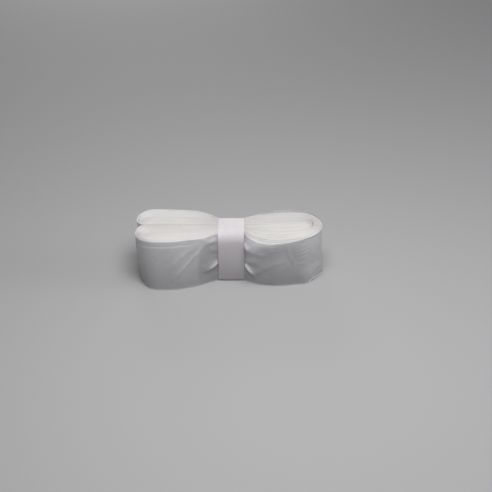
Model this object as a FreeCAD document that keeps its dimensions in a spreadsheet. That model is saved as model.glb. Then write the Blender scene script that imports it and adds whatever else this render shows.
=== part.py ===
"""Grip tape roll: a long strip of thin white film, wound flat, folded double and cinched by a paper band.

Millimetres. +X runs along the hank towards its fold, +Y to the rear, +Z up across the film's width. The origin
is the middle of the footprint, on the surface that the roll stands on. The strip is one continuous piece. Its
turns lie round a folded spine, and they are built here as nested groups of turns, innermost first.
"""

import FreeCAD, Part
import math
import os

import Sketcher

DIMENSIONS = (
    ("film_width", 35.0, "width of the strip, which is the height of the roll"),
    ("hank_length", 117.8, "overall length"),
    ("hank_depth", 38.4, "overall depth, over the two left lobes"),
    ("fold_front_depth", 18.8, "how far the folded end bulges to the front"),
    ("fold_rear_depth", 15.5, "how far the folded end bulges to the rear"),
    ("waist_depth", 18.6, "depth of the film where the band squeezes it"),
    ("waist_squeeze", 0.6, "how much the band presses the film's edges in, above and below"),
    ("waist_corner", 1.2, "radius of the film's corners under the band"),
    ("neck_length", 17.8, "length of the squeezed waist"),
    ("band_x", 1.7, "middle of the waist and of the band"),
    ("band_width", 16.8, "width of the paper band"),
    ("band_paper", 0.3, "thickness of the band"),
    ("band_gap", 0.2, "clearance between band and film"),
    ("band_overlap", 15.0, "how far the band laps over its own start, at the rear"),
    ("lap_top", 26.0, "height where the band's outer end steps out over its start"),
    ("lap_step", 1.2, "height that the step out takes"),
    ("glue_film", 0.1, "thickness of the adhesive in the lap"),
    ("glue_margin", 1.5, "how far the adhesive stays back from the lap's edges"),
    ("lobe_tip_front", 8.0, "distance of the front lobe's tip in front of the middle"),
    ("lobe_tip_rear", 6.8, "distance of the rear lobe's tip behind the middle"),
    ("crease_left", 0.9, "where the crease between the two halves starts, at the left"),
    ("crease_right", 4.5, "where the crease ends, inside the fold"),
    ("crease_tip_x", 47.8, "how far right the crease reaches"),
    ("crease_gap", 0.4, "gap between the two halves along the crease"),
    ("core_share", 0.10, "share of a half's thickness that the innermost turns take"),
    ("turn_gap", 0.015, "gap between two groups of turns, as a share of a half's thickness"),
    ("tail_thickness", 0.25, "thickness of the loose outer end"),
    ("tail_gap", 0.15, "clearance between the loose outer end and the turn below"),
    ("tail_start_x", 10.9, "where the loose outer end comes out from under the band"),
    ("tail_end_x", 55.0, "where the loose outer end stops, at the fold"),
    ("tail_rise", 1.8, "how far the loose outer end stands above the other turns"),
)
TURN_GROUPS = 10
SIDE_STATIONS = 7
NECK_STATIONS = 4
CAP_STATIONS = 5
FOLD_STATIONS = 9
TAIL_STATIONS = 10
CROWDING_LEFT = 1.6
CROWDING_RIGHT = 1.4
FOLD_BLUNTNESS = 0.8
SECTION_EASE = 0.1
LAP_CLEARANCE = 0.2
FLARE = {"front_left": 2.2, "rear_left": 3.5, "front_right": 2.0, "rear_right": 2.2}
LOBE_PEAK = {"front_left": -44.0, "rear_left": -47.0, "front_right": 30.0, "rear_right": 44.0}
INNER_CAP_X = {"front": -53.9, "rear": -54.7}
SPINE_START_X = -49.0

doc = FreeCAD.newDocument("GripTapeRoll")


# ---------------------------------------------------------------- driving dimensions


def make_sheet():
    """The spreadsheet with one aliased cell for each driving dimension."""
    made = doc.addObject("Spreadsheet::Sheet", "Dims")
    for row, (alias, value, meaning) in enumerate(DIMENSIONS, start=1):
        made.set(f"A{row}", meaning)
        made.set(f"B{row}", str(value))
        made.setAlias(f"B{row}", alias)
    doc.recompute()
    return made


sheet = make_sheet()


def dim(alias):
    return float(sheet.get(alias))


HALF_LENGTH = dim("hank_length") / 2
HALF_DEPTH = dim("hank_depth") / 2
WAIST = dim("waist_depth") / 2
NECK_LEFT = dim("band_x") - dim("neck_length") / 2
NECK_RIGHT = dim("band_x") + dim("neck_length") / 2


# ---------------------------------------------------------------- plan outline of the hank


def spread(start, end, count):
    """Values from start to end, both included."""
    return [start + (end - start) * i / (count - 1) for i in range(count)]


def flared(share, power):
    """Rises steeply from 0 at the band's edge and levels out at 1 where the lobe is deepest."""
    return 1 - (1 - min(max(share, 0.0), 1.0)) ** power


def quarter_ellipse(share):
    """Height of a unit quarter ellipse at a share of its half-length."""
    return math.sqrt(max(0.0, 1 - min(max(share, 0.0), 1.0) ** 2))


def depth_at(x, side, left_depth, right_depth):
    """Distance of the hank's side face from the middle plane, from the left lobe's peak to the fold's end."""
    left = LOBE_PEAK[side + "_left"]
    right = LOBE_PEAK[side + "_right"]
    if x < NECK_LEFT:
        rise = flared((NECK_LEFT - x) / (NECK_LEFT - left), FLARE[side + "_left"])
        return WAIST + (left_depth - WAIST) * rise
    if x <= NECK_RIGHT:
        return WAIST
    if x <= right:
        rise = flared((x - NECK_RIGHT) / (right - NECK_RIGHT), FLARE[side + "_right"])
        return WAIST + (right_depth - WAIST) * rise
    return right_depth * quarter_ellipse((x - right) / (HALF_LENGTH - right))


def front_y(x):
    return -depth_at(x, "front", HALF_DEPTH, dim("fold_front_depth"))


def rear_y(x):
    return depth_at(x, "rear", HALF_DEPTH, dim("fold_rear_depth"))


def crease_y(x):
    """The line where the hank's two halves meet."""
    share = min(max((x - NECK_LEFT) / (dim("crease_tip_x") - NECK_LEFT), 0.0), 1.0)
    eased = share * share * (3 - 2 * share)
    return dim("crease_left") + (dim("crease_right") - dim("crease_left")) * eased


def spine(x, side):
    """The middle of the front or rear half, which that half's turns are wound round."""
    at = max(x, SPINE_START_X)
    outer = front_y(at) if side == "front" else rear_y(at)
    return at, (outer + crease_y(at)) / 2


def side_stations(side):
    """X positions along one side, from the left lobe's peak to the crease's tip, closer by the band."""
    left = LOBE_PEAK[side + "_left"]
    tip = dim("crease_tip_x")
    to_neck = [NECK_LEFT - (NECK_LEFT - left) * t**CROWDING_LEFT for t in spread(1.0, 0.0, SIDE_STATIONS)]
    neck = spread(NECK_LEFT, NECK_RIGHT, NECK_STATIONS)[1:]
    shares = spread(0.0, 1.0, SIDE_STATIONS + 1)[1:]
    from_neck = [NECK_RIGHT + (tip - NECK_RIGHT) * t**CROWDING_RIGHT for t in shares]
    return to_neck + neck + from_neck


def cap(side):
    """A left lobe's rounded end, as (boundary point, spine point), from its peak round the tip to the crease."""
    sign = -1 if side == "front" else 1
    tip_y = sign * dim("lobe_tip_" + side)
    peak_x = LOBE_PEAK[side + "_left"]
    inner_x = INNER_CAP_X[side]
    inner_y = crease_y(inner_x) + sign * dim("crease_gap") / 2
    made = []
    for turn in spread(0.0, math.pi / 2, CAP_STATIONS)[1:]:
        x = peak_x - (HALF_LENGTH + peak_x) * math.sin(turn)
        made.append((x, tip_y + (sign * HALF_DEPTH - tip_y) * math.cos(turn)))
    for turn in spread(0.0, math.pi / 2, CAP_STATIONS)[1:]:
        x = inner_x - (HALF_LENGTH + inner_x) * math.cos(turn)
        made.append((x, tip_y + (inner_y - tip_y) * math.sin(turn)))
    return [(point, spine(point[0], side)) for point in made]


def fold():
    """Round the fold, from front to rear, as (outside point, point at the crease's tip, spine point)."""
    tip_x = dim("crease_tip_x")
    radius = dim("crease_gap") / 2
    made = []
    for turn in spread(-math.pi / 2, math.pi / 2, FOLD_STATIONS)[1:-1]:
        x = tip_x + (HALF_LENGTH - tip_x) * math.cos(turn) ** FOLD_BLUNTNESS
        outer = (x, front_y(x) if turn < 0 else rear_y(x))
        if abs(turn) < 1e-9:
            outer = (HALF_LENGTH, 0.0)
        inner = (tip_x + radius * math.cos(turn), crease_y(tip_x) + radius * math.sin(turn))
        made.append((outer, inner, ((outer[0] + inner[0]) / 2, (outer[1] + inner[1]) / 2)))
    return made


def winding():
    """The outermost turn's whole closed path, as (boundary point, spine point) pairs."""
    gap = dim("crease_gap") / 2
    path = [((x, front_y(x)), spine(x, "front")) for x in side_stations("front")]
    path += [(outer, middle) for outer, inner, middle in fold()]
    path += [((x, rear_y(x)), spine(x, "rear")) for x in reversed(side_stations("rear"))]
    path += cap("rear")
    inner_rear = [x for x in side_stations("rear") if x > SPINE_START_X]
    path += [((x, crease_y(x) + gap), spine(x, "rear")) for x in inner_rear]
    path += [(inner, middle) for outer, inner, middle in reversed(fold())]
    inner_front = [x for x in side_stations("front") if x > SPINE_START_X]
    path += [((x, crease_y(x) - gap), spine(x, "front")) for x in reversed(inner_front)]
    path += list(reversed(cap("front")))
    return path


WINDING = winding()


def turn_curve(share):
    """The closed path of the turn that lies at a share of the way from the spine to the outside."""
    points = []
    for (x, y), (cx, cy) in WINDING:
        points.append(FreeCAD.Vector(cx + share * (x - cx), cy + share * (y - cy), 0))
    curve = Part.BSplineCurve()
    curve.interpolate(Points=points, PeriodicFlag=True)
    return curve


# ---------------------------------------------------------------- helpers for document objects


def new_body(label):
    body = doc.addObject("PartDesign::Body", "body_" + label)
    body.Label = label
    return body


def new_sketch(body, plane, geometry):
    """A sketch on one of the body's own origin planes, holding the given curves."""
    sketch = body.newObject("Sketcher::SketchObject", "sketch_" + body.Label)
    support = [p for p in body.Origin.OriginFeatures if p.Role == plane][0]
    sketch.AttachmentSupport = [(support, "")]
    sketch.MapMode = "FlatFace"
    for curve in geometry:
        sketch.addGeometry(curve, False)
    return sketch


def new_pad(body, sketch, length, midplane=False):
    pad = body.newObject("PartDesign::Pad", "pad_" + body.Label)
    pad.Profile = sketch
    pad.setExpression("Length", length)
    if midplane:
        pad.SideType = "Symmetric"
    sketch.Visibility = False
    return pad


def outline(corners):
    """Closed lines through (x, y, radius) corners, with a tangent arc at each corner whose radius isn't 0."""
    vectors = [FreeCAD.Vector(x, y, 0) for x, y, radius in corners]
    ends = []
    for i, (x, y, radius) in enumerate(corners):
        here = vectors[i]
        back = (vectors[i - 1] - here).normalize()
        ahead = (vectors[(i + 1) % len(corners)] - here).normalize()
        half_angle = back.getAngle(ahead) / 2
        reach = radius / math.tan(half_angle) if radius else 0.0
        middle = here
        if radius:
            inward = (back + ahead).normalize()
            middle = here + inward * (radius / math.sin(half_angle) - radius)
        ends.append((here + back * reach, middle, here + ahead * reach, radius))
    edges = []
    for i, (start, middle, end, radius) in enumerate(ends):
        if radius:
            edges.append(Part.Arc(start, middle, end))
        edges.append(Part.LineSegment(end, ends[(i + 1) % len(ends)][0]))
    return edges


# ---------------------------------------------------------------- the film


def make_waist_former():
    """What the band squeezes away: a block round the neck with the waist's rounded section left out of it."""
    block = doc.addObject("Part::Box", "squeeze_block")
    block.setExpression("Length", "Dims.neck_length")
    block.setExpression("Width", "Dims.hank_depth")
    block.setExpression("Height", "Dims.film_width + 2 * Dims.waist_squeeze")
    block.setExpression("Placement.Base.x", "Dims.band_x - Dims.neck_length / 2")
    block.setExpression("Placement.Base.y", "-Dims.hank_depth / 2")
    block.setExpression("Placement.Base.z", "-Dims.waist_squeeze")
    low = dim("waist_squeeze")
    high = dim("film_width") - low
    corner = dim("waist_corner")
    side = WAIST + SECTION_EASE
    section = new_body("waist_section")
    profile = [(-side, low), (side, low), (side, high), (-side, high)]
    sketch = new_sketch(section, "YZ_Plane", outline([(y, z, corner) for y, z in profile]))
    sketch.setExpression("AttachmentOffset.Base.z", "Dims.band_x")
    new_pad(section, sketch, "2 * Dims.neck_length", midplane=True)
    former = doc.addObject("Part::Cut", "waist_former")
    former.Base = block
    former.Tool = section
    return former


def squeezed(body, label, former):
    """The film with its waist pressed in by the band."""
    made = doc.addObject("Part::Cut", "cut_" + label)
    made.Label = label
    made.Base = body
    made.Tool = former
    return made


def make_turn_groups(former):
    """Nested groups of turns, from the innermost to the outermost."""
    core = dim("core_share")
    shares = spread(core, 1.0, TURN_GROUPS)
    made = []
    for number, outer_share in enumerate(shares, start=1):
        label = f"film_turns_{number:02d}"
        if number == TURN_GROUPS:
            label = "film_outer_wrap"
        curves = [turn_curve(outer_share)]
        if number > 1:
            curves.append(turn_curve(shares[number - 2] + dim("turn_gap")))
        body = new_body(label + "_unsqueezed")
        sketch = new_sketch(body, "XY_Plane", curves)
        new_pad(body, sketch, "Dims.film_width")
        made.append(squeezed(body, label, former))
    return made


def make_tail():
    """The strip's loose outer end: from the band it lies round the rear of the fold, a little high."""
    inner_gap = dim("tail_gap")
    outer_gap = inner_gap + dim("tail_thickness")
    step = 0.01
    sides = {inner_gap: [], outer_gap: []}
    for x in spread(dim("tail_start_x"), dim("tail_end_x"), TAIL_STATIONS):
        slope = (rear_y(x + step) - rear_y(x - step)) / (2 * step)
        normal = FreeCAD.Vector(-slope, 1, 0).normalize()
        for gap, points in sides.items():
            points.append(FreeCAD.Vector(x, rear_y(x), 0) + normal * gap)
    curves = []
    for points in sides.values():
        curve = Part.BSplineCurve()
        curve.interpolate(points)
        curves.append(curve)
    near, far = sides.values()
    ends = [Part.LineSegment(near[0], far[0]), Part.LineSegment(near[-1], far[-1])]
    body = new_body("film_outer_end")
    sketch = new_sketch(body, "XY_Plane", curves + ends)
    sketch.setExpression("AttachmentOffset.Base.z", "Dims.tail_rise")
    new_pad(body, sketch, "Dims.film_width")
    return body


# ---------------------------------------------------------------- the band


def band_strip_outline():
    """The band's strip edge-on: round the waist, then over its own start at the rear with the adhesive between.

    Returns the strip's curves and the lap's lower inside corner, (y, z).
    """
    paper = dim("band_paper")
    gap = dim("band_gap")
    inner_y = WAIST + SECTION_EASE + gap
    outer_y = inner_y + paper
    low = dim("waist_squeeze") - gap
    high = dim("film_width") - low
    corner = dim("waist_corner") + gap
    lap_in = outer_y + dim("glue_film")
    lap_out = lap_in + paper
    lap_top = dim("lap_top")
    lap_stepped = lap_top - dim("lap_step")
    start_top = lap_stepped - LAP_CLEARANCE
    lap_low = start_top - dim("band_overlap")
    curves = outline(
        [
            (outer_y, start_top, 0),
            (outer_y, low - paper, corner + paper),
            (-outer_y, low - paper, corner + paper),
            (-outer_y, high + paper, corner + paper),
            (outer_y, high + paper, corner + paper),
            (outer_y, lap_top, 0),
            (lap_out, lap_stepped, 0),
            (lap_out, lap_low, 0),
            (lap_in, lap_low, 0),
            (lap_in, lap_stepped, 0),
            (inner_y, lap_top, 0),
            (inner_y, high, corner),
            (-inner_y, high, corner),
            (-inner_y, low, corner),
            (inner_y, low, corner),
            (inner_y, start_top, 0),
        ]
    )
    return curves, (outer_y, lap_low)


def make_band():
    """The paper band and the adhesive under its lap."""
    curves, (glue_y, glue_z) = band_strip_outline()
    band = new_body("paper_band")
    sketch = new_sketch(band, "YZ_Plane", curves)
    sketch.setExpression("AttachmentOffset.Base.z", "Dims.band_x")
    new_pad(band, sketch, "Dims.band_width", midplane=True)
    glue = doc.addObject("Part::Box", "glue")
    glue.Label = "band_adhesive"
    glue.setExpression("Length", "Dims.band_width - 2 * Dims.glue_margin")
    glue.setExpression("Width", "Dims.glue_film")
    glue.setExpression("Height", "Dims.band_overlap - 2 * Dims.glue_margin")
    glue.setExpression("Placement.Base.x", "Dims.band_x - Dims.band_width / 2 + Dims.glue_margin")
    glue.Placement.Base.y = glue_y
    glue.Placement.Base.z = glue_z + dim("glue_margin")
    return [band, glue]


# ---------------------------------------------------------------- build, test and write


def check(parts):
    """Stops the build if any object failed or any sub-part isn't a valid closed solid."""
    doc.recompute()
    for item in doc.Objects:
        if "Invalid" in item.State or "Error" in item.State:
            raise RuntimeError(f"{item.Name} failed: {item.State}")
    for part in parts:
        shape = part.Shape
        if shape.isNull() or not shape.isValid() or not shape.Solids:
            raise RuntimeError(f"{part.Label} has no valid solid")


def main():
    former = make_waist_former()
    parts = make_turn_groups(former)
    parts.append(make_tail())
    parts += make_band()
    check(parts)
    os.makedirs("parts", exist_ok=True)
    for part in parts:
        shape = part.Shape
        box = shape.BoundBox
        spans = [(box.XMin, box.XMax), (box.YMin, box.YMax), (box.ZMin, box.ZMax)]
        extent = ", ".join(f"{low:.2f} to {high:.2f}" for low, high in spans)
        print(f"{part.Label}: {len(shape.Solids)} solid, {shape.Volume:.0f} mm3, {extent}")
        shape.exportStep(f"parts/{part.Label}.step")


main()
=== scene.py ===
"""Grip tape roll: the film's turns, their wrinkled outer wrap and the paper band, built round the frame.

Plan and height are in millimetres here, in the frame of the CAD: +X towards the fold, +Y to the rear, +Z up.
A mesh is turned into metres when it is made. The strip of film runs along one closed path, which winds round
a folded spine. A share says how far a turn lies from the spine: 0 on it, 1 on the outside.
"""

import sys

import math

import bpy
import numpy as np
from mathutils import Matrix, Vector
from mathutils.geometry import delaunay_2d_cdt


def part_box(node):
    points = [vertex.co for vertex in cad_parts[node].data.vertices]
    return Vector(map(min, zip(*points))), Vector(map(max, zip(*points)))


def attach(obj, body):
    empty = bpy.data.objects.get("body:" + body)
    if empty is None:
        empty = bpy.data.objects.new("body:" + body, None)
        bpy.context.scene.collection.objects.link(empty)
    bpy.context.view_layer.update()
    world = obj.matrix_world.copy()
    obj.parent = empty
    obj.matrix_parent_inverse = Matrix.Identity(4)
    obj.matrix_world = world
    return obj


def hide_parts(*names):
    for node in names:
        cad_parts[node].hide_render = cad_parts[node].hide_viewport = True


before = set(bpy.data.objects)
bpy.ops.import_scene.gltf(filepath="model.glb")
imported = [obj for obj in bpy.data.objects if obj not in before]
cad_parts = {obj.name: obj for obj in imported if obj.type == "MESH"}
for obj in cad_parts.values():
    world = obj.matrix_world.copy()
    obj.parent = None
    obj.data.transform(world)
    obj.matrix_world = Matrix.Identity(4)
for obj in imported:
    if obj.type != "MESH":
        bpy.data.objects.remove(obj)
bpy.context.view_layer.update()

MM = 0.001


def box_mm(node):
    """A CAD node's lowest and highest corners, in millimetres."""
    low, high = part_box(node)
    return np.array(low) / MM, np.array(high) / MM


# ---------------------------------------------------------------- driving dimensions

WRAP_LOW, WRAP_HIGH = box_mm("film_outer_wrap")
BAND_LOW, BAND_HIGH = box_mm("paper_band")
HALF_LENGTH = WRAP_HIGH[0]
HALF_DEPTH = -WRAP_LOW[1]
FILM_WIDTH = WRAP_HIGH[2]
BAND_X = (BAND_LOW[0] + BAND_HIGH[0]) / 2
BAND_HALF = (BAND_HIGH[0] - BAND_LOW[0]) / 2
BAND_LEFT = BAND_X - BAND_HALF
BAND_RIGHT = BAND_X + BAND_HALF
BAND_PAPER = 0.3

# How much further forward the waist stands at its foot than at its top, and how that grows downwards.
BAND_FORWARD = 1.3
FOOT_POWER = 1.3

# The waist under the band: half its depth, how far the band presses the edges, and its corners' radii.
WAIST = 9.3
WAIST_SQUEEZE = 0.6
WAIST_CORNER = 1.2
FRONT_CORNER = 6.6
EDGE_CORNER = FRONT_CORNER - 0.4
NECK_HALF = 8.9
NECK_LEFT = BAND_X - NECK_HALF
NECK_RIGHT = BAND_X + NECK_HALF

# The lobes in plan: where each is deepest, how it widens from the neck, and how its end is rounded.
FOLD_DEPTH = {"front": 18.8, "rear": 15.5}
LOBE_PEAK = {"front_left": -44.0, "rear_left": -47.0, "front_right": 30.0, "rear_right": 44.0}
FLARE = {"front_left": 2.2, "rear_left": 3.5, "front_right": 2.0, "rear_right": 2.2}
LOBE_TIP = {"front": -6.6, "rear": 7.4}
CAP_POWER = {"front": 0.92, "rear": 0.80}
INNER_CAP_X = {"front": -53.9, "rear": -54.7}
FOLD_POWER = 0.8
SIGN = {"front": -1, "rear": 1}

# The crease between the hank's halves, and the left end of the spine that the turns wind round.
CREASE_LEFT = 0.9
CREASE_RIGHT = 4.5
CREASE_TIP_X = 47.8
CREASE_GAP = 0.16
SPINE_START_X = -49.0

# The nested groups of turns. The shares where the first starts and ends, the gap between two, and the share
# past which a group's outside needs rows of points of its own, since the wrap bends there.
TURN_GROUPS = 10
LAYERS_PER_GROUP = 4
CORE_START = 0.01
CORE_SHARE = 0.10
TURN_GAP = 0.012
WALLED_FROM = 0.85


# ---------------------------------------------------------------- the path of the turns


def smooth_step(share):
    t = np.clip(share, 0, 1)
    return t * t * (3 - 2 * t)


def flared(share, power):
    return 1 - (1 - np.clip(share, 0, 1)) ** power


def side_y(x, side):
    """The smooth outer face of the hank at x, on its front or rear side."""
    left, right = LOBE_PEAK[side + "_left"], LOBE_PEAK[side + "_right"]
    deepest = FOLD_DEPTH[side]
    rise_left = flared((NECK_LEFT - x) / (NECK_LEFT - left), FLARE[side + "_left"])
    rise_right = flared((x - NECK_RIGHT) / (right - NECK_RIGHT), FLARE[side + "_right"])
    round_fold = np.sqrt(1 - np.clip((x - right) / (HALF_LENGTH - right), 0, 1) ** 2)
    left_depth = WAIST + (HALF_DEPTH - WAIST) * rise_left
    right_depth = WAIST + (deepest - WAIST) * rise_right
    depth = np.where(x < BAND_X, left_depth, right_depth)
    return SIGN[side] * np.where(x > right, deepest * round_fold, depth)


def crease_y(x):
    """The line where the hank's two halves meet."""
    share = smooth_step((x - NECK_LEFT) / (CREASE_TIP_X - NECK_LEFT))
    return CREASE_LEFT + (CREASE_RIGHT - CREASE_LEFT) * share


def spine_of(x, side):
    at = np.maximum(x, SPINE_START_X)
    return np.stack([at, (side_y(at, side) + crease_y(at)) / 2], axis=1)


def cap(side):
    """The rounded end of a left lobe, from its peak round the tip to the crease."""
    sign = SIGN[side]
    tip_y = LOBE_TIP[side]
    peak_x = LOBE_PEAK[side + "_left"]
    inner_x = INNER_CAP_X[side]
    inner_y = crease_y(inner_x) + sign * CREASE_GAP / 2
    turn = np.linspace(0, math.pi / 2, 40)[1:]
    sine = np.sin(turn) ** CAP_POWER[side]
    cosine = np.maximum(np.cos(turn), 0) ** CAP_POWER[side]
    outer = np.stack([peak_x - (HALF_LENGTH + peak_x) * sine,
                      tip_y + (sign * HALF_DEPTH - tip_y) * cosine], axis=1)
    inner = np.stack([inner_x - (HALF_LENGTH + inner_x) * np.cos(turn),
                      tip_y + (inner_y - tip_y) * np.sin(turn)], axis=1)
    points = np.concatenate([outer, inner])
    return points, spine_of(points[:, 0], side)


def fold():
    """Round the fold, front to rear: the outer face, the crease's tip inside it, and the spine between."""
    turn = np.linspace(-math.pi / 2, math.pi / 2, 81)[1:-1]
    x = CREASE_TIP_X + (HALF_LENGTH - CREASE_TIP_X) * np.cos(turn) ** FOLD_POWER
    outer = np.stack([x, np.where(turn < 0, side_y(x, "front"), side_y(x, "rear"))], axis=1)
    radius = CREASE_GAP / 2
    tip_y = crease_y(CREASE_TIP_X)
    inner = np.stack([CREASE_TIP_X + radius * np.cos(turn), tip_y + radius * np.sin(turn)], axis=1)
    return outer, inner, (outer + inner) / 2


def winding():
    """Once round the outermost turn, as points of the boundary and of the spine."""
    outer, inner, middle = fold()
    legs = []
    for side in ("front", "rear"):
        x = np.arange(LOBE_PEAK[side + "_left"], CREASE_TIP_X, 0.5)
        back = x[x > SPINE_START_X]
        gap = SIGN[side] * CREASE_GAP / 2
        legs.append((np.stack([x, side_y(x, side)], axis=1), spine_of(x, side)))
        legs.append((np.stack([back, crease_y(back) + gap], axis=1), spine_of(back, side)))
    (front, front_spine), (front_in, front_in_spine), (rear, rear_spine), (rear_in, rear_in_spine) = legs
    cap_rear, cap_rear_spine = cap("rear")
    cap_front, cap_front_spine = cap("front")
    boundary = [front, outer, rear[::-1], cap_rear,
                rear_in, inner[::-1], front_in[::-1], cap_front[::-1]]
    spine = [front_spine, middle, rear_spine[::-1], cap_rear_spine,
             rear_in_spine, middle[::-1], front_in_spine[::-1], cap_front_spine[::-1]]
    return np.concatenate(boundary), np.concatenate(spine)


def softened(values, reach):
    """Closed-loop values, averaged over their neighbours with a bell curve of that reach in steps."""
    offsets = np.arange(-3 * reach, 3 * reach + 1)
    weights = np.exp(-0.5 * (offsets / reach) ** 2)
    return sum(w * np.roll(values, -o, axis=0) for w, o in zip(weights, offsets)) / weights.sum()


class Path:
    """Stations once round the winding, closer together near the band than elsewhere.

    rear says which stations are on the rear half, and rear_share is the same with a soft change round the
    fold's nose. open is 0 where the halves press on each other, and squeeze is 1 under the band."""

    dense_step = 0.2
    round_off = 4
    near_reach, far_blend = 30, 12
    nose_from_x, nose_blend = 40, 10
    pressed, press_blend = 2.0, 4.0
    squeeze_past, squeeze_blend = 0.4, 1.2

    def __init__(self, near_step, far_step):
        boundary, spine = winding()
        travel = np.linalg.norm(np.diff(boundary, axis=0, append=boundary[:1]), axis=1)
        travel += np.linalg.norm(np.diff(spine, axis=0, append=spine[:1]), axis=1)
        at = np.concatenate([[0], np.cumsum(travel / 2)])
        self.length = at[-1]
        dense = np.arange(0, self.length, self.dense_step)
        closed = [np.concatenate([v, v[:1]]) for v in (boundary, spine)]
        lines = [np.stack([np.interp(dense, at, v[:, i]) for i in (0, 1)], axis=1) for v in closed]
        dense_boundary, dense_spine = (softened(line, self.round_off) for line in lines)
        picks = self.choose(dense_boundary, near_step, far_step)
        self.count = len(picks)
        self.at = picks * self.dense_step
        self.boundary = self.pick(dense_boundary, picks)
        self.spine = self.pick(dense_spine, picks)
        along = self.pick(np.roll(dense_boundary, -2, 0) - np.roll(dense_boundary, 2, 0), picks)
        along /= np.maximum(np.linalg.norm(along, axis=1), 1e-6)[:, None]
        self.normal = np.stack([along[:, 1], -along[:, 0]], axis=1)
        self.x, y = self.boundary.T
        past_crease = y - crease_y(self.x)
        self.rear = past_crease > 0
        round_nose = smooth_step(past_crease / self.nose_blend + 0.5)
        self.rear_share = np.where(self.x > self.nose_from_x, round_nose, self.rear)
        self.mostly_rear = self.rear_share > 0.5
        from_tip = np.hypot(self.x - CREASE_TIP_X, y - CREASE_RIGHT)
        away = np.where(self.x < CREASE_TIP_X, np.abs(past_crease), from_tip)
        self.open = smooth_step((away - self.pressed) / self.press_blend)
        inside = BAND_HALF + self.squeeze_past - np.abs(self.x - BAND_X)
        self.squeeze = smooth_step(inside / self.squeeze_blend)

    def choose(self, line, near_step, far_step):
        """Places on the dense line, near_step apart near the band and far_step apart far from it."""
        far = np.clip((np.abs(line[:, 0] - BAND_X) - self.near_reach) / self.far_blend, 0, 1)
        density = 1 / (near_step + (far_step - near_step) * far)
        filled = np.concatenate([[0], np.cumsum(density)])
        count = int(filled[-1] * self.dense_step)
        return np.interp(np.arange(count) / count * filled[-1], filled, np.arange(len(filled)))

    @staticmethod
    def pick(values, picks):
        low = np.floor(picks).astype(int) % len(values)
        part = (picks - np.floor(picks))[:, None]
        return values[low] * (1 - part) + values[(low + 1) % len(values)] * part


FINE = Path(0.45, 1.1)
COARSE = Path(0.9, 1.8)


# ---------------------------------------------------------------- wrinkles and lean of the film


class Facets:
    """Heights at listed points (x, z, height), joined by flat facets as creased film is."""

    def __init__(self, points):
        self.points = np.array(points, float)
        flat = [Vector(point[:2]) for point in points]
        triangles = delaunay_2d_cdt(flat, [], [], 0, 1e-6)[2]
        self.triangles = [tuple(t) for t in triangles]

    def at(self, x, z):
        height = np.zeros(np.broadcast(x, z).shape)
        for a, b, c in self.triangles:
            (ax, az, ah), (bx, bz, bh), (cx, cz, ch) = self.points[[a, b, c]]
            area = (bx - ax) * (cz - az) - (cx - ax) * (bz - az)
            if abs(area) < 1e-9:
                continue
            u = ((x - ax) * (cz - az) - (cx - ax) * (z - az)) / area
            v = ((bx - ax) * (z - az) - (x - ax) * (bz - az)) / area
            inside = (u >= -1e-9) & (v >= -1e-9) & (u + v <= 1 + 1e-9)
            height = np.where(inside, ah + u * (bh - ah) + v * (ch - ah), height)
        return height

    def soft(self, x, z, reach=0.35):
        """The same, with the creases a little rounded."""
        total = 2 * self.at(x, z)
        for dx, dz in ((reach, 0), (-reach, 0), (0, reach), (0, -reach)):
            total = total + self.at(x + dx, z + dz)
        return total / 6


# Distance from the band's edge, height up the film, and how far the film stands out there.
GATHERS_LEFT = Facets([
    (0.1, 0, 0), (0.1, 5, 0.3), (0.1, 10.5, 0.3), (0.1, 12.5, 0.3), (0.1, 15, 0.3),
    (0.1, 19, 0.3), (0.1, 24, 0.3), (0.1, 30, 0.3), (0.1, 36, 0),
    (0.9, 36, 0.1), (0.9, 33, 0.2), (0.9, 29.6, 0.7), (0.9, 26, 0.2), (0.9, 23, 0.5),
    (0.9, 19.4, 0.1), (0.9, 16.4, 0.2), (0.9, 13.6, 1.9), (0.9, 11.2, 0.0), (0.9, 6, 0.3), (0.9, -1, 0),
    (3.5, 36, 0.2), (3.5, 33.5, 0.3), (3.5, 30.4, 1.1), (3.5, 27.4, 0.3), (3.5, 24, 0.6),
    (3.5, 21.2, 0.1), (3.5, 16.8, 0.4), (3.5, 12.0, 1.8), (3.5, 9.8, 0.0), (3.5, 4, 0.4), (3.5, -1, 0.1),
    (6.8, 36, 0.4), (6.8, 33.5, 0.6), (6.8, 30.5, 1.1), (6.8, 27.0, 0.4), (6.8, 23, 0.2),
    (6.8, 16, 0.4), (6.6, 10.0, 1.1), (6.8, 7.9, 0.0), (6.8, 3, 0.3), (6.8, -1, 0.1),
    (9.2, 36, 0.4), (9.4, 33.5, 1.0), (10.2, 28, 1.0), (11.2, 22, 1.0), (11.6, 15.5, 0.8),
    (11.6, 9, 0.5), (11.6, 3, 0.3), (11.6, -1, 0.1),
    (19, 36, 0), (19, 24, 0), (19, 12, 0), (19, -1, 0),
])
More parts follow.
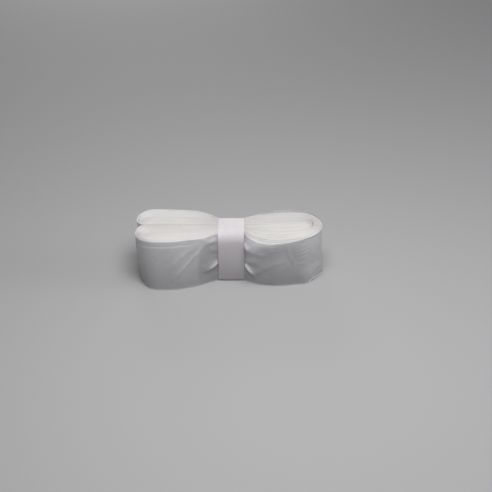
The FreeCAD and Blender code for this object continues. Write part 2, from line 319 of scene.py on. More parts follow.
GATHERS_RIGHT = Facets([
    (0.1, 0, 0), (0.1, 5, 0.3), (0.1, 10.6, 0.3), (0.1, 13, 0.3), (0.1, 16, 0.3),
    (0.1, 20, 0.3), (0.1, 25, 0.3), (0.1, 29, 0.3), (0.1, 36, 0),
    (0.9, 36, 0), (0.9, 31.6, 0), (0.9, 28.2, 0.9), (0.9, 24.8, 0.0), (0.9, 19.5, 0.4),
    (0.9, 15.2, 0.9), (0.9, 13.8, 0.3), (0.9, 12.2, 1.7), (0.9, 10.2, 0.0), (0.9, 4, 0.4), (0.9, -1, 0),
    (3.4, 36, 0), (3.4, 32.4, 0), (3.4, 29.6, 0.1), (3.4, 26.2, 1.6), (3.4, 23.0, 0.0), (3.4, 19, 0.5),
    (3.4, 15.8, 1.0), (3.6, 12.4, 0.2), (3.2, 9.8, 2.0), (2.4, 7.9, 0.0), (3.4, 3.5, 0.4), (3.4, -1, 0.1),
    (7.0, 36, 0), (7.0, 33, 0), (7.0, 29.6, 0), (7.0, 25.2, 1.2), (7.0, 21.8, 0.1), (7.0, 17.2, 1.1),
    (6.4, 12.4, 0.3), (5.4, 7.7, 1.7), (4.6, 5.6, 0.1), (7.0, 3, 0.3), (7.0, -1, 0.2),
    (8.2, 9.4, 1.1), (10.8, 14.5, 0.8), (9.6, 7.4, 0.2),
    (11.4, 36, 0), (11.4, 33, 0), (11.4, 29.0, 0), (11.4, 24.4, 0.5), (11.4, 20, 0.6),
    (12.4, 10, 0.1), (12.4, 3, 0.2), (12.4, -1, 0.1),
    (16, 36, 0), (16, 31, 0), (16, 24, 0.2), (16, 14, 0.2), (16, -1, 0),
    (22, 36, 0), (22, 24, 0), (22, 12, 0), (22, -1, 0),
])


def ridge(x, z, points, width, height):
    """A crease that stands up along a line of points, fading at its ends."""
    points = np.array(points, float)
    lengths = np.linalg.norm(np.diff(points, axis=0), axis=1)
    total, done = lengths.sum(), 0.0
    best = np.zeros(np.broadcast(x, z).shape)
    for (ax, az), (bx, bz), length in zip(points[:-1], points[1:], lengths):
        t = np.clip(((x - ax) * (bx - ax) + (z - az) * (bz - az)) / length**2, 0, 1)
        away = np.hypot(x - ax - t * (bx - ax), z - az - t * (bz - az))
        along = (done + t * length) / total
        fade = np.minimum(1, 4 * np.minimum(along, 1 - along) + 0.15)
        best = np.maximum(best, fade * np.clip(1 - away / width, 0, 1))
        done += length
    return height * best


# Long creases as (points (x, z), half-width, height).
FRONT_CREASES = [
    ([(-16, 30), (-20, 25), (-26, 18.5), (-32, 12), (-36, 7)], 1.8, 0.44),
    ([(-21, 30), (-32.3, 22), (-39.6, 14)], 2.8, 0.34),
    ([(-57, 31.9), (-50, 31.7), (-39, 31.8), (-27, 31.9), (-20, 33)], 0.7, -0.16),
    ([(22, 33.2), (34, 33.6), (48, 33.7), (59, 33.7)], 0.8, -0.30),
    ([(24, 30.6), (34, 30.2)], 0.7, 0.22),
    ([(25, 28.4), (32, 28.2)], 0.6, 0.14),
    ([(18, 21), (26, 27), (33, 29)], 1.6, 0.22),
    ([(20, 11), (28, 17), (38, 20)], 2.2, 0.22),
    ([(36, 33), (37.5, 24), (42, 15)], 2.0, 0.25),
    ([(42, 17.4), (50, 13.2)], 0.9, 0.25),
    ([(43, 19.4), (48, 21.4)], 1.0, 0.34),
    ([(43.5, 22.2), (49.5, 24.8)], 1.0, 0.36),
    ([(44, 25.2), (50, 27.8)], 1.0, 0.34),
    ([(45, 28.2), (50, 30.2)], 0.9, 0.26),
]
REAR_CREASES = [
    ([(-16, 9), (-24, 15), (-34, 24), (-40, 27)], 1.5, 0.40),
    ([(-19, 25), (-30, 19), (-41, 17)], 2.4, 0.28),
    ([(-14, 31), (-26, 29), (-44, 30)], 1.2, 0.2),
    ([(19, 8), (28, 14), (36, 24)], 1.5, 0.36),
    ([(20, 26), (31, 21), (46, 20)], 2.4, 0.28),
    ([(38, 6), (46, 12)], 1.2, 0.2),
]


def undulation(x, z, phase):
    """Shallow waves that a loose film has all over."""
    waves = 0.10 * np.sin(x / 4.7 + z / 9.0 + phase) + 0.08 * np.sin(x / 2.9 - z / 5.1 + 2 * phase)
    return waves + 0.06 * np.sin(x / 7.3 - z / 3.7 + 3 * phase)


def stand_out(x, z, rear):
    """How far the outer wrap stands out from its smooth face at (x, z), on the front or the rear."""
    from_left = BAND_LEFT - x
    from_right = x - BAND_RIGHT
    turned = FILM_WIDTH - z
    if rear:
        height = GATHERS_RIGHT.soft(from_left, turned) + GATHERS_LEFT.soft(from_right, turned)
        creases = REAR_CREASES
    else:
        height = GATHERS_LEFT.soft(from_left, z) + GATHERS_RIGHT.soft(from_right, z)
        creases = FRONT_CREASES
    for points, width, high in creases:
        height = height + ridge(x, z, points, width, high)
    clear = smooth_step((np.abs(x - BAND_X) - BAND_HALF - 0.3) / 8.0)
    return height + clear * (0.2 + undulation(x, z, 1.7 if rear else 0.4))


# A point on the flat that the fold's front lower corner is pulled to, and the flat's outward direction.
CORNER_POINT = np.array([50.3, -13.9, 0.0])
CORNER_NORMAL = np.array([0.752, -0.634, -0.177])


def cut_corner(points, share):
    """The fold's front lower corner, pulled flat; turns inside the outermost stay behind it."""
    beyond = np.maximum((points - CORNER_POINT) @ CORNER_NORMAL, 0)
    back = beyond + 3 * (1 - share) * np.minimum(beyond, 1)
    return points - back[..., None] * CORNER_NORMAL


def bulge(x, z):
    """How far the film bulges forward below its upper edge beside the band, at the front of the fold."""
    beside = x - BAND_RIGHT
    reach = np.interp(beside, [0.2, 1.2, 3.5, 7, 12, 18, 26, 38], [0, 1.8, 2.8, 2.9, 2.1, 1.3, 0.7, 0])
    crest = np.interp(beside, [0, 4, 8, 14, 24], [27.2, 27.6, 29.4, 31.6, 33.4])
    above = z - crest
    return reach * smooth_step(1 + above / 12) * (1 - 0.9 * smooth_step(above / 9))


def undercut(x, z, rear):
    """How far the wall steps in just below its rim round the fold."""
    share = smooth_step(np.where(rear, (x - 46) / 12, (x - 26) / 20))
    return -0.5 * share * smooth_step((34.3 - z) / 1.1) * np.clip(z / 33, 0, 1)


def toe(x, z):
    """The wall's foot at the fold's front corner, straighter and then squarer than the wall above."""
    reach = np.interp(x, [30, 42, 50, 53, 57, 59], [0, -0.9, 1.0, 2.0, 1.4, 0])
    return reach * np.interp(z, [0, 14], [1, 0])


# Painted highlights along the front's folds and facets, a painted glow along the fold's foot, and one
# painted shade, as (points (x, z), half-width, how much).
PAINTED_FOLD_LIGHT = [
    ([(-7.0, 14.9), (-10.0, 13.0), (-13.2, 10.9)], 2.3, 0.42),
    ([(-8.5, 31.4), (-13.5, 30.8)], 2.2, 0.16),
    ([(10.4, 13.6), (13.5, 10.6), (16.0, 8.2)], 1.7, 0.62),
    ([(10.6, 16.4), (14, 18.0), (18.5, 20.4)], 3.2, 0.30),
    ([(10.6, 30.2), (12.6, 28.4), (15.4, 27.0)], 1.8, 0.30),
    ([(10.8, 32.5), (16, 31.5), (22, 32), (30, 33.5)], 4.5, 0.24),
    ([(10.6, 22.5), (15, 23.5), (24, 26)], 4.0, 0.22),
    ([(45, 13), (57, 5)], 7.0, 0.10),
    ([(50, 3.5), (54, 3.5), (60, 7)], 5.0, 0.15),
    ([(48, 0.4), (52, 0.4), (56, 0.4), (61, 0.4)], 1.5, 0.75),
    ([(38, 30), (44, 18)], 6.0, -0.10),
    ([(-16, 29.5), (-26, 18.5), (-36, 7)], 1.5, 0.07),
    ([(-22, 29.5), (-32.3, 22), (-39.6, 14)], 2.4, 0.05),
]


def painted_shade(x, z, rear):
    """The wall's painted shade: darker low down and in the hollow beside the band, with a painted glow at
    its lowest edge.
    """
    # Painted shade darkening the wall towards the floor and towards the fold's end, with a painted glow in
    # its lowest half millimetre.
    low = np.interp(z, [0, 0.5, 1.0, 5, 18, 30, 35], [0.96, 0.92, 0.60, 0.62, 0.79, 0.91, 0.96])
    low = low * np.interp(x, [BAND_X, BAND_X + 12, HALF_LENGTH], [1.0, 0.96, 0.92])
    # Painted shade in the hollow beside the band, on both sides.
    beside = np.where(rear, x - BAND_RIGHT, BAND_LEFT - x)
    hollow_end = np.interp(z, [0, 20, 30, 35], [14.2, 14.0, 11.5, 7.5])
    hollow = smooth_step((hollow_end - beside) / 2.5) * (beside > 0)
    light = low * (1 - hollow * np.interp(z, [0, 8, 22, 30, 34], [0.08, 0.15, 0.20, 0.10, 0]))
    # Painted light on the rear's last turn where it stands above the top.
    light = light * np.where(rear, np.interp(z, [34.3, 34.8], [1.0, 1.12]), 1.0)
    # Painted highlights along the front's folds and facets, and one painted shade.
    for points, width, much in PAINTED_FOLD_LIGHT:
        light = light + np.where(rear, 0, ridge(x, z, points, width, much))
    return light


def pleats(x, z):
    """Shallow lengthwise pleats where the band holds the film."""
    return -0.12 + 0.12 * np.sin(1.9 * z + 0.8 * np.sin(x / 3.0)) * np.sin(0.31 * z + 0.5)


def film_points(path, shares, heights):
    """The film's points at every station of the path, wrinkles and all.

    shares has one value for each column, and heights is stations by columns."""
    x = np.repeat(path.x[:, None], heights.shape[1], axis=1)
    front = stand_out(x, heights, False) + bulge(x, heights) + toe(x, heights)
    front = front + undercut(x, heights, False)
    rear = stand_out(x, heights, True) + undercut(x, heights, True)
    out = front + (rear - front) * path.rear_share[:, None]
    out = out * (1 - path.squeeze[:, None]) + pleats(x, heights) * path.squeeze[:, None]
    out = out * path.open[:, None]
    depth = np.clip(shares, 0, 1)[None, :]
    across = (path.boundary - path.spine)[:, None, :]
    points = np.empty((*heights.shape, 3))
    points[..., :2] = path.spine[:, None, :] + depth[..., None] * across
    points[..., :2] += path.normal[:, None, :] * (out * depth**4)[..., None]
    points[..., 2] = heights
    return cut_corner(lean(points), depth)


def lean(points):
    """The hank isn't quite upright: its ends and its front lean, more and more towards the floor."""
    x, y = points[..., 0], points[..., 1]
    left = x < BAND_X
    down = np.clip(1 - points[..., 2] / FILM_WIDTH, 0, 1)
    end = np.clip((np.abs(x - BAND_X) - BAND_HALF) / (HALF_LENGTH - BAND_HALF), 0, 1)
    sideways = end * np.where(left, 0.15 + 2.35 * down, 0.1 + 1.1 * down)
    front = np.clip(-y / HALF_DEPTH, 0, 1) ** 2
    belly = smooth_step(end / 0.35) * smooth_step((1 - end) / np.where(left, 0.10, 0.5))
    backwards = front * belly * down * np.where(left, -2.2, 2.2)
    waist = smooth_step((16 - np.abs(x - BAND_X)) / 9) * smooth_step(-y / 6)
    points[..., 1] = y + backwards - BAND_FORWARD * waist * down**FOOT_POWER
    points[..., 0] = x + sideways
    return points


# ---------------------------------------------------------------- heights of the turns' edges

rng = np.random.default_rng(7)


def wander(path, knot_step, amount):
    """A smooth random height for every station, which closes on itself."""
    count = max(4, int(path.length / knot_step))
    values = rng.normal(0, amount, count)
    places = path.at / path.length * count
    i = places.astype(int) % count
    ease = smooth_step(places - places.astype(int))
    return values[i] * (1 - ease) + values[(i + 1) % count] * ease


def corner_drop(path, share, radius):
    """How far the band's rounded corner presses a turn's edge in the waist, for every station."""
    y = path.spine[:, 1] + share * (path.boundary - path.spine)[:, 1]
    inside = np.clip(radius - (WAIST - np.abs(y)), 0, radius)
    return radius - np.sqrt(radius**2 - inside**2)


def edge_drop(path, share):
    """How far the outer turns' upper edges sink: at the lobes' tips, and where the fold's front bulges."""
    beside = path.x - BAND_RIGHT
    bulging = np.interp(beside, [0, 16, 30, 48], [1.5, 1.4, 1.1, 0.3])
    bulging = smooth_step(beside / 2) * bulging * ~path.rear
    tip = smooth_step((-50 - path.x) / 7) * 0.7
    outer = smooth_step((share - 0.80) / 0.2)
    return path.open * outer * (bulging + tip)


def edge_heights(path, share, offset, loose):
    """The lower and upper edge of one turn, for every station: its own height, and how it wanders."""
    free = 1 - path.squeeze
    wanders = loose * free * (wander(path, 26, 0.10) + wander(path, 6, 0.03))
    wanders = wanders + offset * (0.2 + 0.8 * free)
    upper = corner_drop(path, share, np.where(path.rear, WAIST_CORNER, EDGE_CORNER))
    lower = corner_drop(path, share, WAIST_CORNER)
    press = path.squeeze * (WAIST_SQUEEZE + 0.1)
    top = FILM_WIDTH - 0.1 + np.minimum(wanders, 0.35) - press
    top = top - path.squeeze * upper - free * edge_drop(path, share)
    bottom = np.maximum(0.08, 0.25 - wanders) + press + path.squeeze * lower
    return bottom, top


# ---------------------------------------------------------------- meshes


def make_object(name, vertices, quads, material, sharp_degrees):
    """A mesh of quads in millimetres, its faces turned outwards, as an object in metres."""
    points = np.asarray(vertices, np.float64).reshape(-1, 3)
    a, b, c, d = (points[quads[:, i]] for i in range(4))
    volume = (a * np.cross(b, c)).sum() + (a * np.cross(c, d)).sum()
    if volume < 0:
        quads = quads[:, ::-1]
    mesh = bpy.data.meshes.new(name)
    mesh.vertices.add(len(points))
    mesh.vertices.foreach_set("co", (points * MM).astype(np.float32).ravel())
    mesh.loops.add(quads.size)
    mesh.loops.foreach_set("vertex_index", quads.astype(np.int32).ravel())
    mesh.polygons.add(len(quads))
    mesh.polygons.foreach_set("loop_start", np.arange(0, quads.size, 4, dtype=np.int32))
    mesh.polygons.foreach_set("use_smooth", np.ones(len(quads), bool))
    mesh.update(calc_edges=True)
    mesh.set_sharp_from_angle(angle=math.radians(sharp_degrees))
    mesh.materials.append(material)
    made = bpy.data.objects.new(name, mesh)
    bpy.context.scene.collection.objects.link(made)
    return made


def ring_quads(rows, columns, closed):
    """Faces of a tube whose sections are rings of columns points; closed joins the last one to the first."""
    i, j = np.meshgrid(np.arange(rows if closed else rows - 1), np.arange(columns), indexing="ij")
    here, ahead = i * columns, (i + 1) % rows * columns
    beside = (j + 1) % columns
    return np.stack([here + j, ahead + j, ahead + beside, here + beside], axis=-1).reshape(-1, 4)


def end_quads(rows, columns):
    """Faces that close both ends of a tube, whose ring is one skin's points, then the other's, reversed."""
    half = columns // 2
    i = np.arange(half - 1)
    first = np.stack([i, i + 1, columns - 2 - i, columns - 1 - i], axis=-1)
    last = first[:, ::-1] + (rows - 1) * columns
    return np.concatenate([first, last])


def closed_sheet(near, far):
    """Points and faces of a thin closed sheet between two skins, each a grid of points."""
    rows, columns = near.shape[:2]
    ring = np.concatenate([near, far[:, ::-1]], axis=1)
    return ring, np.concatenate([ring_quads(rows, 2 * columns, False), end_quads(rows, 2 * columns)])


def set_values(made, name, values):
    """Store one value for each of a mesh's points, for the materials to read."""
    attribute = made.data.attributes.new(name, "FLOAT", "POINT")
    attribute.data.foreach_set("value", np.asarray(values, np.float32).ravel())


def painted_crease_shade(path):
    """How much painted shade darkens the turns' edges where the hank's halves meet, most of all at the left
    tips.
    """
    return np.interp(path.x, [-55, -38, -12, 50], [2.2, 1.9, 1.4, 1.1]) * (1 - path.open)


# One turn's edge, from its outside inwards: share of the pitch, how far it lies below the turn's top, how
# much of the valley between two turns it has, and its tone, with painted shade towards the valley.
EDGE_PROFILE = [
    (0.00, 0.04, 0, 0.0), (0.12, 0.0, 0, 0.0), (0.68, 0.0, 0, 0.0),
    (0.80, 0.04, 0, -0.6), (0.84, 0.0, 1, -1.2), (0.96, 0.0, 1, -1.2),
]

# Edges that turn by more than this many degrees stay sharp.
TURNS_SHARP, SHEET_SHARP, BAND_SHARP = 35, 60, 50


def block_of_turns(name, path, inner, outer, loose, wall_rows, material):
    """A closed ring of film turns, with the edge of every turn showing above and below.

    loose is how much the edges wander, and wall_rows is how many rows of points the outside has."""
    pitch = (outer - inner) / LAYERS_PER_GROUP
    shares, lows, highs, tones_and_painted_shade = [], [], [], []
    for layer in range(LAYERS_PER_GROUP):
        start = outer - layer * pitch
        offset = rng.normal(0, 0.05) * loose
        valley = rng.uniform(0.06, 0.16) * loose
        bottom, top = edge_heights(path, start, offset, loose)
        tone = rng.normal(0, 1)
        for step, drop, sunk, darker in EDGE_PROFILE:
            shares.append(start - step * pitch)
            lows.append(bottom + drop + sunk * valley)
            highs.append(top - drop - sunk * valley)
            tones_and_painted_shade.append(tone + darker)
    wall = np.arange(1, wall_rows + 1) / (wall_rows + 1)
    wall_heights = [lows[0] + (highs[0] - lows[0]) * share for share in wall]
    heights = np.stack(highs + lows[::-1] + wall_heights, axis=1)
    ring_shares = np.array(shares + shares[::-1] + [outer] * wall_rows)
    ring_tones_and_painted_shade = np.array(tones_and_painted_shade + tones_and_painted_shade[::-1] + [0.0] * wall_rows)
    ring_edges = np.array([1.0] * (2 * len(shares)) + [0.0] * wall_rows)
    points = film_points(path, ring_shares, heights)
    made = make_object(name, points, ring_quads(path.count, len(ring_shares), True), material, TURNS_SHARP)
    # The outside wall gets painted shade; the turns' edges get none.
    painted_shades = painted_shade(path.x[:, None], heights, path.mostly_rear[:, None])
    # The tone differs at random from turn to turn; painted shade darkens it in the valleys and the crease.
    set_values(made, "tone", ring_tones_and_painted_shade[None, :] - painted_crease_shade(path)[:, None])
    set_values(made, "edge", np.tile(ring_edges, path.count))
    set_values(made, "painted_shade", np.where(ring_edges, 1.0, painted_shades))
    return made


def sheet_along(name, path, chosen, bottom, top, lift, thickness, material):
    """A thin closed sheet of film on the outer wrap at the chosen stations, between two heights.

    lift is how far it stands off the wrap, for every station and row."""
    rows = lift.shape[1]
    heights = np.zeros((path.count, rows))
    heights[chosen] = bottom[:, None] + (top - bottom)[:, None] * np.linspace(0, 1, rows)[None, :]
    on_wrap = film_points(path, np.ones(rows), heights)[chosen]
    normal = np.zeros_like(on_wrap)
    normal[..., :2] = path.normal[chosen][:, None, :]
    near = on_wrap + normal * lift[..., None]
    far = near + normal * thickness
    made = make_object(name, *closed_sheet(near, far), material, SHEET_SHARP)
    # The last turn gets the same painted shade on both its faces.
    painted_shades = painted_shade(path.x[chosen, None], heights[chosen], path.mostly_rear[chosen, None])
    set_values(made, "painted_shade", np.concatenate([painted_shades, painted_shades[:, ::-1]], axis=1))
    return made


# ---------------------------------------------------------------- materials


def new_material(name):
    material = bpy.data.materials.new(name)
    material.use_nodes = True
    return material, material.node_tree.nodes, material.node_tree.links


def noise(nodes, links, scale, detail, stretch=(1, 1, 1)):
    place = nodes.new("ShaderNodeTexCoord")
    mapping = nodes.new("ShaderNodeMapping")
    mapping.inputs["Scale"].default_value = stretch
    texture = nodes.new("ShaderNodeTexNoise")
    texture.inputs["Scale"].default_value = scale
    texture.inputs["Detail"].default_value = detail
    links.new(place.outputs["Object"], mapping.inputs["Vector"])
    links.new(mapping.outputs["Vector"], texture.inputs["Vector"])
    return texture.outputs["Fac"]


def ramp(nodes, links, source, stops):
    made = nodes.new("ShaderNodeValToRGB")
    elements = made.color_ramp.elements
    while len(elements) < len(stops):
        elements.new(0.5)
    for element, (position, colour) in zip(elements, stops):
        element.position = position
        element.color = (*colour, 1)
    links.new(source, made.inputs["Fac"])
    return made.outputs["Color"]


def mapped(nodes, links, source, low, high, source_low=0, source_high=1):
    made = nodes.new("ShaderNodeMapRange")
    made.inputs["From Min"].default_value = source_low
    made.inputs["From Max"].default_value = source_high
    made.inputs["To Min"].default_value = low
    made.inputs["To Max"].default_value = high
    links.new(source, made.inputs["Value"])
    return made.outputs["Result"]


def bumps(nodes, links, shader, source, strength, distance):
    """Fine bumps of the surface, distance metres high at full strength."""
    made = nodes.new("ShaderNodeBump")
    made.inputs["Strength"].default_value = strength
    made.inputs["Distance"].default_value = distance
    links.new(source, made.inputs["Height"])
    links.new(made.outputs["Normal"], shader.inputs["Normal"])


def stored(nodes, name):
    """A value that each mesh stores for its points."""
    attribute = nodes.new("ShaderNodeAttribute")
    attribute.attribute_name = name
    return attribute.outputs["Fac"]


def times_painted_shade(nodes, links, colour):
    """The colour, times the mesh's painted shade."""
    product = nodes.new("ShaderNodeMix")
    product.data_type = "RGBA"
    product.blend_type = "MULTIPLY"
    product.inputs["Factor"].default_value = 1
    links.new(colour, product.inputs["A"])
    links.new(stored(nodes, "painted_shade"), product.inputs["B"])
    return product.outputs["Result"]


def cloudy(nodes, links, colour, scale, stretch, darkest):
    """The colour in soft clouds, down to a share of itself."""
    return ramp(nodes, links, noise(nodes, links, scale, 3, stretch),
                [(0.3, tuple(darkest * c for c in colour)), (0.7, colour)])


def film_material(name, wall, edge_cool, edge_warm):
    """Thin white film: grey and glossy on its face, whiter on the stacked edges, which differ a little."""
    material, nodes, links = new_material(name)
    shader = nodes["Principled BSDF"]
    # The tone attribute holds each turn's own tone and the painted shade of the valleys and the crease.
    tone_and_painted_shade_share = mapped(nodes, links, stored(nodes, "tone"), 0, 1, -2.5, 1.5)
    mix = nodes.new("ShaderNodeMix")
    mix.data_type = "RGBA"
    links.new(stored(nodes, "edge"), mix.inputs["Factor"])
    links.new(cloudy(nodes, links, wall, 60, (1, 1, 0.5), 0.97), mix.inputs["A"])
    links.new(ramp(nodes, links, tone_and_painted_shade_share, [(0.0, edge_warm), (1.0, edge_cool)]), mix.inputs["B"])
    # The wall's colour and the edges' tone, times the painted shade.
    links.new(times_painted_shade(nodes, links, mix.outputs["Result"]), shader.inputs["Base Color"])
    links.new(mapped(nodes, links, noise(nodes, links, 140, 4), 0.26, 0.46), shader.inputs["Roughness"])
    bumps(nodes, links, shader, noise(nodes, links, 420, 5, (1, 1, 0.35)), 0.25, 0.0002)
    shader.inputs["IOR"].default_value = FILM_IOR
    shader.inputs["Subsurface Weight"].default_value = 0.35
    shader.inputs["Subsurface Radius"].default_value = (1.0, 1.0, 1.0)
    shader.inputs["Subsurface Scale"].default_value = 0.0015
    return material


def clear_film_material(name, colour, alpha):
    """One or two layers of the film alone, which show what is behind them."""
    material, nodes, links = new_material(name)
    shader = nodes["Principled BSDF"]
    face = cloudy(nodes, links, colour, 80, (1, 1, 0.4), 0.98)
    # The film's colour times its painted shade.
    links.new(times_painted_shade(nodes, links, face), shader.inputs["Base Color"])
    links.new(mapped(nodes, links, noise(nodes, links, 160, 4), 0.2, 0.38), shader.inputs["Roughness"])
    bumps(nodes, links, shader, noise(nodes, links, 380, 5, (1, 1, 0.35)), 0.3, 0.0002)
    shader.inputs["IOR"].default_value = FILM_IOR
    shader.inputs["Alpha"].default_value = alpha
    return material


def paper_material():
    """Smooth white paper with faint fibres and a slight lilac cast."""
    material, nodes, links = new_material("paper")
    shader = nodes["Principled BSDF"]
    fibres = ramp(nodes, links, noise(nodes, links, 300, 6, (1, 1, 2.5)),
                  [(0.3, (0.76, 0.72, 0.745)), (0.7, (0.80, 0.765, 0.79))])
    # The paper's colour times its painted shade.
    links.new(times_painted_shade(nodes, links, fibres), shader.inputs["Base Color"])
    links.new(mapped(nodes, links, noise(nodes, links, 500, 4), 0.62, 0.8), shader.inputs["Roughness"])
    bumps(nodes, links, shader, noise(nodes, links, 1500, 6, (1, 1, 2.5)), 0.3, 0.0001)
    shader.inputs["IOR"].default_value = 1.45
    return material


def adhesive_material():
    """Dry clear adhesive, a little yellow and uneven."""
    material, nodes, links = new_material("adhesive")
    shader = nodes["Principled BSDF"]
    colour = ramp(nodes, links, noise(nodes, links, 700, 3),
                  [(0.35, (0.62, 0.60, 0.52)), (0.65, (0.72, 0.70, 0.62))])
    links.new(colour, shader.inputs["Base Color"])
    links.new(mapped(nodes, links, noise(nodes, links, 900, 3), 0.3, 0.5), shader.inputs["Roughness"])
    shader.inputs["IOR"].default_value = 1.47
    return material


def floor_material():
    material, nodes, _ = new_material("floor")
    shader = nodes["Principled BSDF"]
    shader.inputs["Base Color"].default_value = (0.48, 0.48, 0.485, 1)
    shader.inputs["Roughness"].default_value = 0.75
    return material


FILM_IOR = 1.5
FACE_COLOUR = (0.72, 0.71, 0.735)
FILM = film_material("film", FACE_COLOUR, (0.88, 0.865, 0.855), (0.84, 0.815, 0.79))
FILM_RIM = film_material("film_rim", FACE_COLOUR, (0.91, 0.905, 0.925), (0.86, 0.845, 0.83))
CLEAR_FILM = clear_film_material("clear_film", (0.78, 0.77, 0.80), 0.8)
PAPER = paper_material()
ADHESIVE = adhesive_material()


# ---------------------------------------------------------------- the film

# How much the turns' edges wander, and the rows of points on an outside wall.
INNER_LOOSE, WALLED_LOOSE, WRAP_LOOSE = 0.8, 1.2, 1.5
WALLED_ROWS, WRAP_ROWS = 14, 58


def make_turns():
    """The nested groups of turns, and the outer wrap, which is the last of them."""
    shares = np.linspace(CORE_SHARE, 1.0, TURN_GROUPS)
    inner = CORE_START
    for number, outer in enumerate(shares[:-1], start=1):
        loose, rows = (WALLED_LOOSE, WALLED_ROWS) if outer > WALLED_FROM else (INNER_LOOSE, 0)
        node = f"film_turns_{number:02d}"
        made = block_of_turns(node + "_edges", COARSE, inner, outer, loose, rows, FILM)
        place_film(made, node)
        inner = outer + TURN_GAP
    wrap = block_of_turns("film_outer_wrap_edges", FINE, inner, 1.0, WRAP_LOOSE, WRAP_ROWS, FILM_RIM)
    place_film(wrap, "film_outer_wrap")


def place_film(made, node):
    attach(made, "film_hank")
    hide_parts(node)


# The last turn's thickness, how far it stands off the wrap, and how much more it does at the left's ledge.
LAST_TURN_THICKNESS = 0.06
LAST_TURN_LIFT = 0.13
LEDGE_LIFT = 0.22

# The last turn's upper edge, as x and height, on the front and on the rear.
FRONT_TOP = ([-59, -50, -39, -24, -19, -14, -9, 11, 18, 40, 53, 59],
             [29.8, 31.0, 31.2, 31.3, 32.2, 34.0, 34.6, 33.4, 33.3, 33.2, 33.2, 34.2])
REAR_TOP = ([7, 11, 14, 20, 30, 42, 50, 56, 59],
            [34.2, 34.6, 35.0, 35.9, 36.6, 36.85, 36.85, 36.1, 34.2])


def last_turn_edges(x, rear, squeeze):
    """The last turn's lower and upper edge: low on the front's left, and standing up, rippled, behind."""
    ripple = (0.2 + 0.1 * np.sin(0.47 * x)) * np.sin(1.96 * x + np.sin(0.35 * x))
    ripple = np.where(rear, ripple, 0) * smooth_step((x - 16) / 6)
    press = squeeze * (WAIST_SQUEEZE + 0.2)
    top = np.where(rear, np.interp(x, *REAR_TOP), np.interp(x, *FRONT_TOP)) + ripple
    bottom = np.maximum(top - FILM_WIDTH, 0.1) + press + squeeze * WAIST_CORNER
    held_top = FILM_WIDTH - press - squeeze * np.where(rear, WAIST_CORNER, EDGE_CORNER)
    return bottom, np.where(squeeze > 0, np.minimum(top, held_top), top)


def make_last_turn():
    """The strip's last turn: from the notch round the front and the fold to its end at the band's rear."""
    outside = (FINE.open > 0.3) & (~FINE.rear | (FINE.x > BAND_RIGHT - 3))
    start = np.argmax(outside & ~np.roll(outside, 1))
    chosen = (start + np.arange(outside.sum())) % FINE.count
    if not outside[chosen].all():
        sys.exit("the last turn isn't in one run")
    x, rear, squeeze = (values[chosen] for values in (FINE.x, FINE.rear, FINE.squeeze))
    bottom, top = last_turn_edges(x, rear, squeeze)
    below_top = (top - bottom)[:, None] * (1 - np.linspace(0, 1, WRAP_ROWS))[None, :]
    ledge = np.where(rear, 0, smooth_step((-15 - x) / 6))[:, None]
    lift = LAST_TURN_LIFT + LEDGE_LIFT * ledge * smooth_step(below_top / 0.9) * np.exp(-below_top / 9)
    lift = lift * (1 - 0.6 * squeeze[:, None])
    made = sheet_along("film_last_turn", FINE, chosen, bottom, top, lift, LAST_TURN_THICKNESS, CLEAR_FILM)
    place_film(made, "film_outer_end")


# ---------------------------------------------------------------- the band

# Heights at the rear: where the paper starts, where the lap steps out over it, and where the lap ends.
PAPER_START = 24.6
LAP_STEP = 26.0
LAP_FLAT = 24.8
LAP_END = 9.6
LAP_GLUE = 0.1
BAND_CLEAR = 0.3

# The strip's mesh: its step along the line and its points across. Then its painted shade at each height,
# darker towards its foot.
BAND_STEP = 0.45
BAND_COLUMNS = 30
PAPER_PAINTED_SHADE = ([0, 5, 18, 28, 32, 35], [0.54, 0.57, 0.76, 0.86, 0.96, 1.0])


def rounded(corners):
    """A line through (y, z, radius) corners, each rounded by its radius, with plain ends."""
    made = [corners[0][:2]]
    for before, (y, z, radius), after in zip(corners, corners[1:], corners[2:]):
        corner = np.array([y, z])
        back, ahead = np.array(before[:2]) - corner, np.array(after[:2]) - corner
        back, ahead = back / np.linalg.norm(back), ahead / np.linalg.norm(ahead)
        half = math.acos(np.clip(back @ ahead, -1, 1)) / 2
        middle = corner + (back + ahead) / np.linalg.norm(back + ahead) * radius / math.sin(half)
        start_y, start_z = corner + back * radius / math.tan(half) - middle
        end_y, end_z = corner + ahead * radius / math.tan(half) - middle
        first = math.atan2(start_z, start_y)
        turn = (math.atan2(end_z, end_y) - first + math.pi) % (2 * math.pi) - math.pi
        for share in np.linspace(0, 1, 12):
            angle = first + turn * share
            made.append((middle[0] + radius * math.cos(angle), middle[1] + radius * math.sin(angle)))
    made.append(corners[-1][:2])
    return np.array(made)


def band_line():
    """The paper strip's middle line, edge-on, as (y, z): round the waist, then over its own start."""
    side = WAIST + BAND_CLEAR + BAND_PAPER / 2
    low, high = BAND_LOW[2] + BAND_PAPER / 2, BAND_HIGH[2] - BAND_PAPER / 2
    lap_side = side + BAND_PAPER + LAP_GLUE
    line = rounded([
        (side, PAPER_START, 0), (side, low, 1.6), (-side, low, 1.0), (-side, high, FRONT_CORNER),
        (side, high, 1.6), (side, LAP_STEP, 0.8), (lap_side, LAP_FLAT, 0.8), (lap_side, LAP_END, 0),
    ])
    travel = np.concatenate([[0], np.cumsum(np.linalg.norm(np.diff(line, axis=0), axis=1))])
    at = np.linspace(0, travel[-1], int(travel[-1] / BAND_STEP))
    line = np.stack([np.interp(at, travel, line[:, i]) for i in (0, 1)], axis=1)
    near = smooth_step((15 - np.hypot(line[:, 0] + side, line[:, 1] - high)) / 5)[:, None]
    line = line * (1 - near) + softened(line, 5) * near
    forward = smooth_step(-line[:, 0] / 6) * (1 - line[:, 1] / FILM_WIDTH) ** FOOT_POWER
    line[:, 0] -= BAND_FORWARD * forward
    return line, travel[-1]


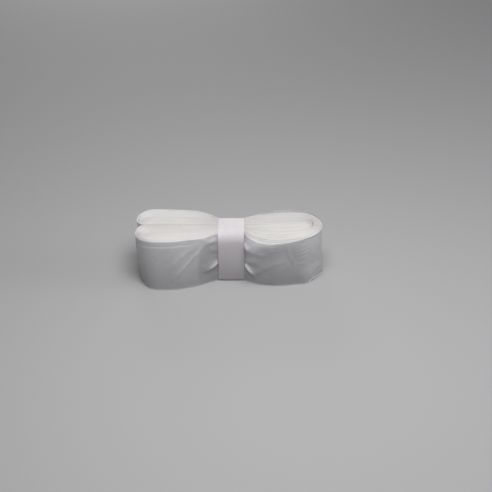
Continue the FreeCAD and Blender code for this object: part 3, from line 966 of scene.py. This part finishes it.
def make_band():
    """The paper band: one strip with its lap at the rear, a little wavy, with edges that lift slightly."""
    line, length = band_line()
    rows = len(line)
    along = np.gradient(line, axis=0)
    along /= np.linalg.norm(along, axis=1)[:, None]
    normal = np.stack([along[:, 1], -along[:, 0]], axis=1)
    if (normal[rows // 3] * (line[rows // 3] - [0, FILM_WIDTH / 2])).sum() < 0:
        normal = -normal
    across = np.linspace(-1, 1, BAND_COLUMNS)
    travel = np.linspace(0, length, rows)
    lapped = smooth_step((travel - 14) / 6) * smooth_step((length - 22 - travel) / 6)
    edge_wander = 0.07 * np.sin(travel / 5.1) + 0.05 * np.sin(travel / 2.3 + 1)
    waves = 0.05 * np.sin(travel / 6.0 + 0.4)[:, None] * np.sin(2.2 * across + 0.6)[None, :]
    curl = 0.10 * np.clip((np.abs(across) - 0.8) / 0.2, 0, 1)[None, :] ** 2
    swell = 0.16 * (1 - across**2)[None, :]
    off_floor = smooth_step(line[:, 1] / 5)
    away = (lapped * off_floor)[:, None] * (waves + curl + swell)
    middle = np.zeros((rows, BAND_COLUMNS, 3))
    middle[..., 0] = BAND_X + across[None, :] * (BAND_HALF - 0.1 + edge_wander[:, None])
    middle[..., 1:] = line[:, None, :]
    outward = np.zeros_like(middle)
    outward[..., 1:] = normal[:, None, :]
    near = middle + outward * (away - BAND_PAPER / 2)[..., None]
    far = middle + outward * (away + BAND_PAPER / 2)[..., None]
    points, quads = closed_sheet(near, far)
    made = make_object("paper_band_strip", points, quads, PAPER, BAND_SHARP)
    # Painted shade: the paper darker towards its foot.
    set_values(made, "painted_shade", np.interp(points[..., 2], *PAPER_PAINTED_SHADE))
    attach(made, "band")
    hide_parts("paper_band")


def finish_adhesive():
    """The adhesive keeps its own solid, in its own material."""
    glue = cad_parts["band_adhesive"]
    glue.data.materials.clear()
    glue.data.materials.append(ADHESIVE)


# ---------------------------------------------------------------- the set

CAMERA_ELEVATION = math.radians(33)
CAMERA_DISTANCE = 0.738
CAMERA_AIM = Vector((0.01095, 0.0019, 0.01808))
CAMERA_LENS = 84.15
CAMERA_SENSOR = 36
LIGHT_AIM = Vector((0, 0, 0.02))
FLOOR_REACH = 3.0

# Soft lights: name, place and size in metres, and power in watts.
LIGHTS = [
    ("overhead", (0.04, -0.15, 0.44), 0.25, 1.5),
    ("right_fill", (0.80, -0.06, 0.22), 0.3, 1.6),
    ("rear_fill", (-0.15, 0.80, 0.24), 0.4, 1.0),
]
SKY_COLOUR = (0.8, 0.8, 0.82, 1)
SKY_STRENGTH = 0.22


def make_camera():
    camera = bpy.data.objects.new("camera", bpy.data.cameras.new("camera"))
    camera.data.lens = CAMERA_LENS
    camera.data.sensor_width = CAMERA_SENSOR
    back = Vector((0, -math.cos(CAMERA_ELEVATION), math.sin(CAMERA_ELEVATION)))
    camera.location = CAMERA_AIM + back * CAMERA_DISTANCE
    camera.rotation_euler = (math.pi / 2 - CAMERA_ELEVATION, 0, 0)
    bpy.context.scene.collection.objects.link(camera)
    bpy.context.scene.camera = camera
    bpy.context.scene.view_settings.view_transform = "Standard"


def make_light(name, location, size, power):
    light = bpy.data.objects.new(name, bpy.data.lights.new(name, "AREA"))
    light.data.size = size
    light.data.energy = power
    light.location = location
    light.rotation_euler = (LIGHT_AIM - Vector(location)).to_track_quat("-Z", "Y").to_euler()
    bpy.context.scene.collection.objects.link(light)


def make_sky():
    world = bpy.data.worlds.new("world")
    bpy.context.scene.world = world
    world.use_nodes = True
    sky = world.node_tree.nodes["Background"]
    sky.inputs["Color"].default_value = SKY_COLOUR
    sky.inputs["Strength"].default_value = SKY_STRENGTH


def make_floor():
    reach = FLOOR_REACH
    mesh = bpy.data.meshes.new("floor")
    mesh.from_pydata([(-reach, -reach, 0), (reach, -reach, 0), (reach, reach, 0), (-reach, reach, 0)],
                     [], [(0, 1, 2, 3)])
    mesh.materials.append(floor_material())
    floor = bpy.data.objects.new("floor", mesh)
    bpy.context.scene.collection.objects.link(floor)


make_camera()
for light in LIGHTS:
    make_light(*light)
make_sky()
make_floor()
make_turns()
make_last_turn()
make_band()
finish_adhesive()

bpy.context.view_layer.update()
